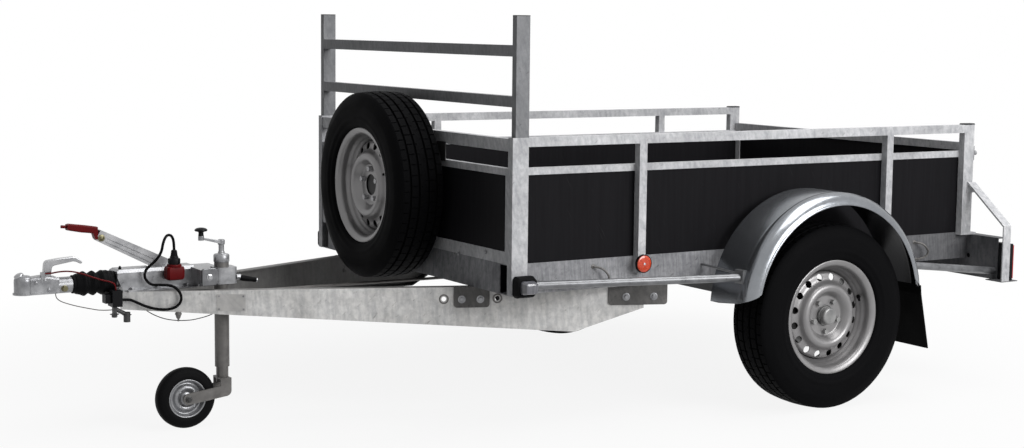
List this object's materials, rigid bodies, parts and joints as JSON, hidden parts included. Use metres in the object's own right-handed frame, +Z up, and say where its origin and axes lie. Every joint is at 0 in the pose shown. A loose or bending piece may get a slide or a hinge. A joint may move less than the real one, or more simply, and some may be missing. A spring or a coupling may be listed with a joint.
{
  "type": "utility trailer",
  "caption": "single-axle braked box trailer with galvanised frame, dark plywood sides, ladder headboard, spare wheel and jockey wheel",
  "frame": {"origin": "on the floor under the middle of the trailer's length and width", "axes": "+X forwards to the coupling, +Y left, +Z up"},
  "size_m": [3.498, 1.904, 1.353],
  "materials": {
    "galvanised_steel": "hot-dip galvanised",
    "zinc_plate": "bright zinc plated",
    "phenolic_plywood": "dark film-faced plywood",
    "tyre_rubber": "tyre rubber",
    "black_rubber": "matt black rubber",
    "wheel_steel": "silver painted",
    "hub_steel": "cast and machined",
    "black_plastic": "matt black",
    "red_plastic": "red moulded",
    "lamp_plastic": "clear over grey",
    "amber_reflector": "amber reflector",
    "chassis_steel": "dull galvanised, weathered"
  },
  "bodies": {
    "chassis": {"axle_arms": "chassis_steel", "axle_brackets": "chassis_steel", "axle_tube": "chassis_steel", "bellows": "black_rubber", "brake_equaliser": "zinc_plate", "brake_fork": "black_rubber", "brake_rod": "zinc_plate", "brake_wire_front": "black_rubber", "brake_wire_rear": "black_rubber", "breakaway_cable": "red_plastic", "cable_bracket": "black_plastic", "cable_plug": "black_plastic", "corner_posts": "galvanised_steel", "coupling_handle": "zinc_plate", "coupling_head": "zinc_plate", "cross_members": "galvanised_steel", "drawbar_beams": "galvanised_steel", "drawbar_plates": "galvanised_steel", "fender_stays": "galvanised_steel", "fenders": "galvanised_steel", "floor_board": "phenolic_plywood", "front_panel": "phenolic_plywood", "handbrake_grip": "red_plastic", "handbrake_lever": "zinc_plate", "headboard": "galvanised_steel", "jockey_clamp": "zinc_plate", "lamp_channel": "galvanised_steel", "lamp_guards": "galvanised_steel", "lashing_hooks": "galvanised_steel", "lighting_cable": "black_rubber", "marker_lamps": "lamp_plastic", "mudflaps": "black_rubber", "overrun_housing": "zinc_plate", "panel_trim": "galvanised_steel", "plug_holder": "red_plastic", "rear_lamps": "black_plastic", "rear_lenses": "red_plastic", "side_panels": "phenolic_plywood", "side_rails": "galvanised_steel", "side_reflectors": "amber_reflector", "side_stanchions": "galvanised_steel", "spare_carrier": "galvanised_steel", "spare_rim": "wheel_steel", "spare_tyre": "tyre_rubber", "tailgate_fittings": "zinc_plate", "top_rails": "galvanised_steel"},
    "wheel_left": {"tyre_left": "tyre_rubber", "rim_left": "wheel_steel", "hub_left": "hub_steel"},
    "wheel_right": {"tyre_right": "tyre_rubber", "rim_right": "wheel_steel", "hub_right": "hub_steel"},
    "tailgate": {"tailgate_frame": "galvanised_steel", "tailgate_panel": "phenolic_plywood"},
    "jockey_leg": {"jockey_leg": "zinc_plate", "jockey_crank": "black_plastic"},
    "jockey_fork": {"jockey_fork": "zinc_plate"},
    "jockey_wheel": {"jockey_tyre": "black_rubber", "jockey_rim": "zinc_plate"}
  },
  "joints": [
    {"name": "wheel_left_spin", "type": "hinge", "parent": "chassis", "child": "wheel_left", "pos_m": [-0.838, 0.837, 0.325], "axis": [0, 1, 0], "continuous": true},
    {"name": "wheel_right_spin", "type": "hinge", "parent": "chassis", "child": "wheel_right", "pos_m": [-0.838, -0.837, 0.325], "axis": [0, 1, 0], "continuous": true},
    {"name": "tailgate_hinge", "type": "hinge", "parent": "chassis", "child": "tailgate", "pos_m": [-1.704, 0, 0.56], "axis": [0, -1, 0], "range_deg": [0, 90]},
    {"name": "jockey_height", "type": "slide", "parent": "chassis", "child": "jockey_leg", "axis": [0, 0, 1], "range_m": [0, 0.14]},
    {"name": "jockey_swivel", "type": "hinge", "parent": "jockey_leg", "child": "jockey_fork", "pos_m": [1.092, 0.1, 0.15], "axis": [0, 0, 1], "continuous": true},
    {"name": "jockey_wheel_spin", "type": "hinge", "parent": "jockey_fork", "child": "jockey_wheel", "pos_m": [1.222, 0.1, 0.1], "axis": [0, 1, 0], "continuous": true}
  ]
}
